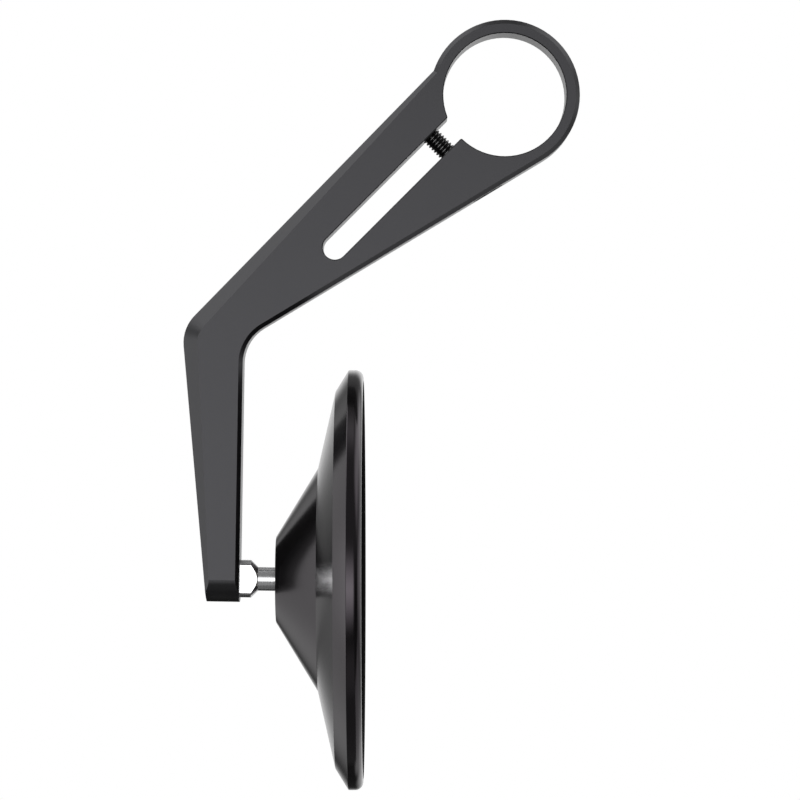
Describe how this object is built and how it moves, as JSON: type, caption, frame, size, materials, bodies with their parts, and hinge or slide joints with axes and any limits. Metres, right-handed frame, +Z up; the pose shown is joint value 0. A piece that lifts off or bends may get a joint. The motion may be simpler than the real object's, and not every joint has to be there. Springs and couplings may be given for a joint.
{
  "type": "motorcycle bar end mirror",
  "caption": "Bar end mirror: a split ring clamp on a bent milled arm, with a round turned mirror head that tilts, pans and spins on a ball stud.",
  "frame": {"origin": "centre of the clamp bore, midway through the ring's thickness", "axes": "+Y along the handlebar, +Z up, +X the way the mirror glass faces at rest"},
  "size_m": [0.082, 0.087, 0.1593],
  "materials": {
    "arm_anodised": "black anodised, satin",
    "head_anodised": "black anodised, turned, semi-gloss",
    "screw_black": "black oxide",
    "stud_steel": "bright turned",
    "nylon": "plain",
    "spring_steel": "plain",
    "plate_steel": "zinc plated",
    "foam_tape": "foam",
    "mirror": "silvered"
  },
  "bodies": {
    "arm": {"clamp_arm": "arm_anodised", "clamp_screw": "screw_black", "ball_stud": "stud_steel"},
    "tilt_seat": {"rear_ball_seat": "nylon"},
    "pan_seat": {"front_ball_seat": "nylon", "disc_spring_rear": "spring_steel", "disc_spring_front": "spring_steel"},
    "head": {"mirror_housing": "head_anodised", "retaining_plate": "plate_steel", "retaining_screws": "screw_black", "adhesive_ring": "foam_tape", "mirror_glass": "mirror"}
  },
  "joints": [
    {"name": "mirror_tilt", "type": "hinge", "parent": "arm", "child": "tilt_seat", "pos_m": [-0.0405, 0, -0.10029], "axis": [0, 1, 0], "range_deg": [-15, 15]},
    {"name": "mirror_pan", "type": "hinge", "parent": "tilt_seat", "child": "pan_seat", "pos_m": [-0.0405, 0, -0.10029], "axis": [0, 0, 1], "range_deg": [-15, 15]},
    {"name": "mirror_spin", "type": "hinge", "parent": "pan_seat", "child": "head", "pos_m": [-0.0405, 0, -0.10029], "axis": [1, 0, 0], "continuous": true}
  ]
}
